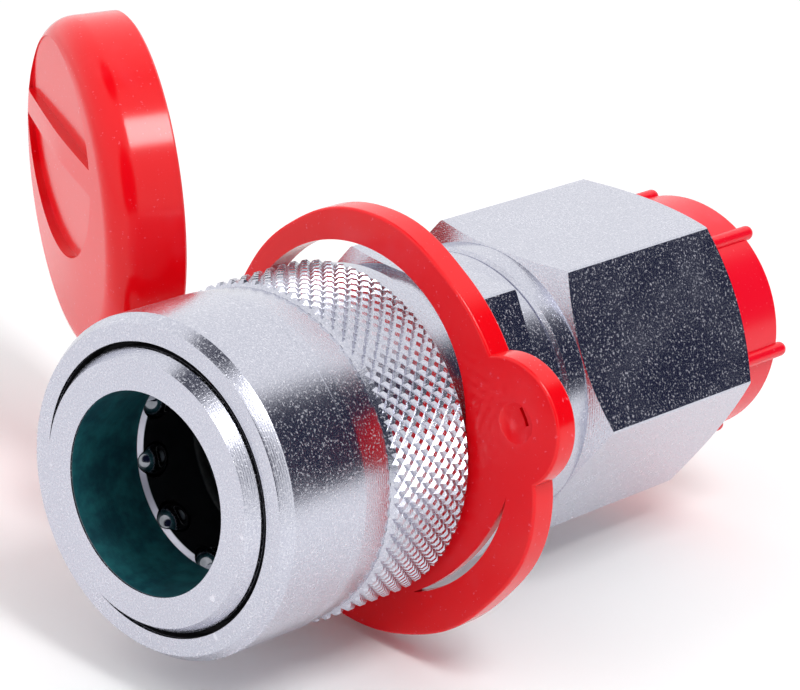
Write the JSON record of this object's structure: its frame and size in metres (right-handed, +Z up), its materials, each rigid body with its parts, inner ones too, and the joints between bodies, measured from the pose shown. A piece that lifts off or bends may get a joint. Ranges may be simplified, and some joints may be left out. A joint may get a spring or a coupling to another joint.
{
  "type": "hydraulic quick coupler",
  "caption": "Socket half of a hydraulic quick coupler, with a knurled locking sleeve, ball lock, poppet valve, hexagon port, red plug and tethered dust cap.",
  "frame": {"origin": "centre of the socket's mouth face", "axes": "+Y along the coupler's axis from the mouth to the rear port, +Z up"},
  "size_m": [0.1211, 0.1165, 0.0686],
  "materials": {
    "zinc_steel": "bright zinc plating",
    "ball_steel": "polished",
    "spring_steel": "drawn wire",
    "seal_rubber": "smooth",
    "backup_plastic": "smooth",
    "plug_plastic": "soft gloss, slightly translucent",
    "cap_plastic": "soft gloss"
  },
  "bodies": {
    "socket": {"socket_body": "zinc_steel", "coupler_body": "zinc_steel", "port_adapter": "zinc_steel", "valve_guide": "zinc_steel", "interface_o_ring": "seal_rubber", "interface_backup_ring": "backup_plastic", "body_o_ring": "seal_rubber", "adapter_o_ring": "seal_rubber", "sleeve_spring": "spring_steel", "poppet_spring": "spring_steel"},
    "sleeve": {"sleeve": "zinc_steel"},
    "poppet": {"poppet": "zinc_steel", "poppet_seal": "seal_rubber"},
    "dust_cap": {"dust_cap": "cap_plastic"},
    "port_plug": {"port_plug": "plug_plastic"},
    "locking_ball_01": {"locking_ball_01": "ball_steel"},
    "locking_ball_02": {"locking_ball_02": "ball_steel"},
    "locking_ball_03": {"locking_ball_03": "ball_steel"},
    "locking_ball_04": {"locking_ball_04": "ball_steel"},
    "locking_ball_05": {"locking_ball_05": "ball_steel"},
    "locking_ball_06": {"locking_ball_06": "ball_steel"},
    "locking_ball_07": {"locking_ball_07": "ball_steel"},
    "locking_ball_08": {"locking_ball_08": "ball_steel"},
    "locking_ball_09": {"locking_ball_09": "ball_steel"},
    "locking_ball_10": {"locking_ball_10": "ball_steel"}
  },
  "joints": [
    {"name": "sleeve_slide", "type": "slide", "parent": "socket", "child": "sleeve", "axis": [0, 1, 0], "range_m": [0, 0.0043], "stiffness_N_per_m": 3000, "springref_m": -0.012, "deforming": ["sleeve_spring"]},
    {"name": "poppet_slide", "type": "slide", "parent": "socket", "child": "poppet", "axis": [0, 1, 0], "range_m": [0, 0.006], "stiffness_N_per_m": 1500, "springref_m": -0.006, "deforming": ["poppet_spring"]},
    {"name": "dust_cap_swing", "type": "hinge", "parent": "sleeve", "child": "dust_cap", "pos_m": [0, 0.0421, 0], "axis": [0, 1, 0], "continuous": true},
    {"name": "port_plug_pull", "type": "slide", "parent": "socket", "child": "port_plug", "axis": [0, 1, 0], "range_m": [0, 0.0134]},
    {"name": "ball_01_slide", "type": "slide", "parent": "socket", "child": "locking_ball_01", "axis": [0.9613, 0, 0.2756], "range_m": [0, 0.00122]},
    {"name": "ball_02_slide", "type": "slide", "parent": "socket", "child": "locking_ball_02", "axis": [0.6157, 0, 0.788], "range_m": [0, 0.00122]},
    {"name": "ball_03_slide", "type": "slide", "parent": "socket", "child": "locking_ball_03", "axis": [0.0349, 0, 0.9994], "range_m": [0, 0.00122]},
    {"name": "ball_04_slide", "type": "slide", "parent": "socket", "child": "locking_ball_04", "axis": [-0.5592, 0, 0.829], "range_m": [0, 0.00122]},
    {"name": "ball_05_slide", "type": "slide", "parent": "socket", "child": "locking_ball_05", "axis": [-0.9397, 0, 0.342], "range_m": [0, 0.00122]},
    {"name": "ball_06_slide", "type": "slide", "parent": "socket", "child": "locking_ball_06", "axis": [-0.9613, 0, -0.2756], "range_m": [0, 0.00122]},
    {"name": "ball_07_slide", "type": "slide", "parent": "socket", "child": "locking_ball_07", "axis": [-0.6157, 0, -0.788], "range_m": [0, 0.00122]},
    {"name": "ball_08_slide", "type": "slide", "parent": "socket", "child": "locking_ball_08", "axis": [-0.0349, 0, -0.9994], "range_m": [0, 0.00122]},
    {"name": "ball_09_slide", "type": "slide", "parent": "socket", "child": "locking_ball_09", "axis": [0.5592, 0, -0.829], "range_m": [0, 0.00122]},
    {"name": "ball_10_slide", "type": "slide", "parent": "socket", "child": "locking_ball_10", "axis": [0.9397, 0, -0.342], "range_m": [0, 0.00122]}
  ],
  "couplings": [
    {"joint": "ball_01_slide", "follows": "sleeve_slide", "ratio": 0.27907},
    {"joint": "ball_02_slide", "follows": "sleeve_slide", "ratio": 0.27907},
    {"joint": "ball_03_slide", "follows": "sleeve_slide", "ratio": 0.27907},
    {"joint": "ball_04_slide", "follows": "sleeve_slide", "ratio": 0.27907},
    {"joint": "ball_05_slide", "follows": "sleeve_slide", "ratio": 0.27907},
    {"joint": "ball_06_slide", "follows": "sleeve_slide", "ratio": 0.27907},
    {"joint": "ball_07_slide", "follows": "sleeve_slide", "ratio": 0.27907},
    {"joint": "ball_08_slide", "follows": "sleeve_slide", "ratio": 0.27907},
    {"joint": "ball_09_slide", "follows": "sleeve_slide", "ratio": 0.27907},
    {"joint": "ball_10_slide", "follows": "sleeve_slide", "ratio": 0.27907}
  ]
}
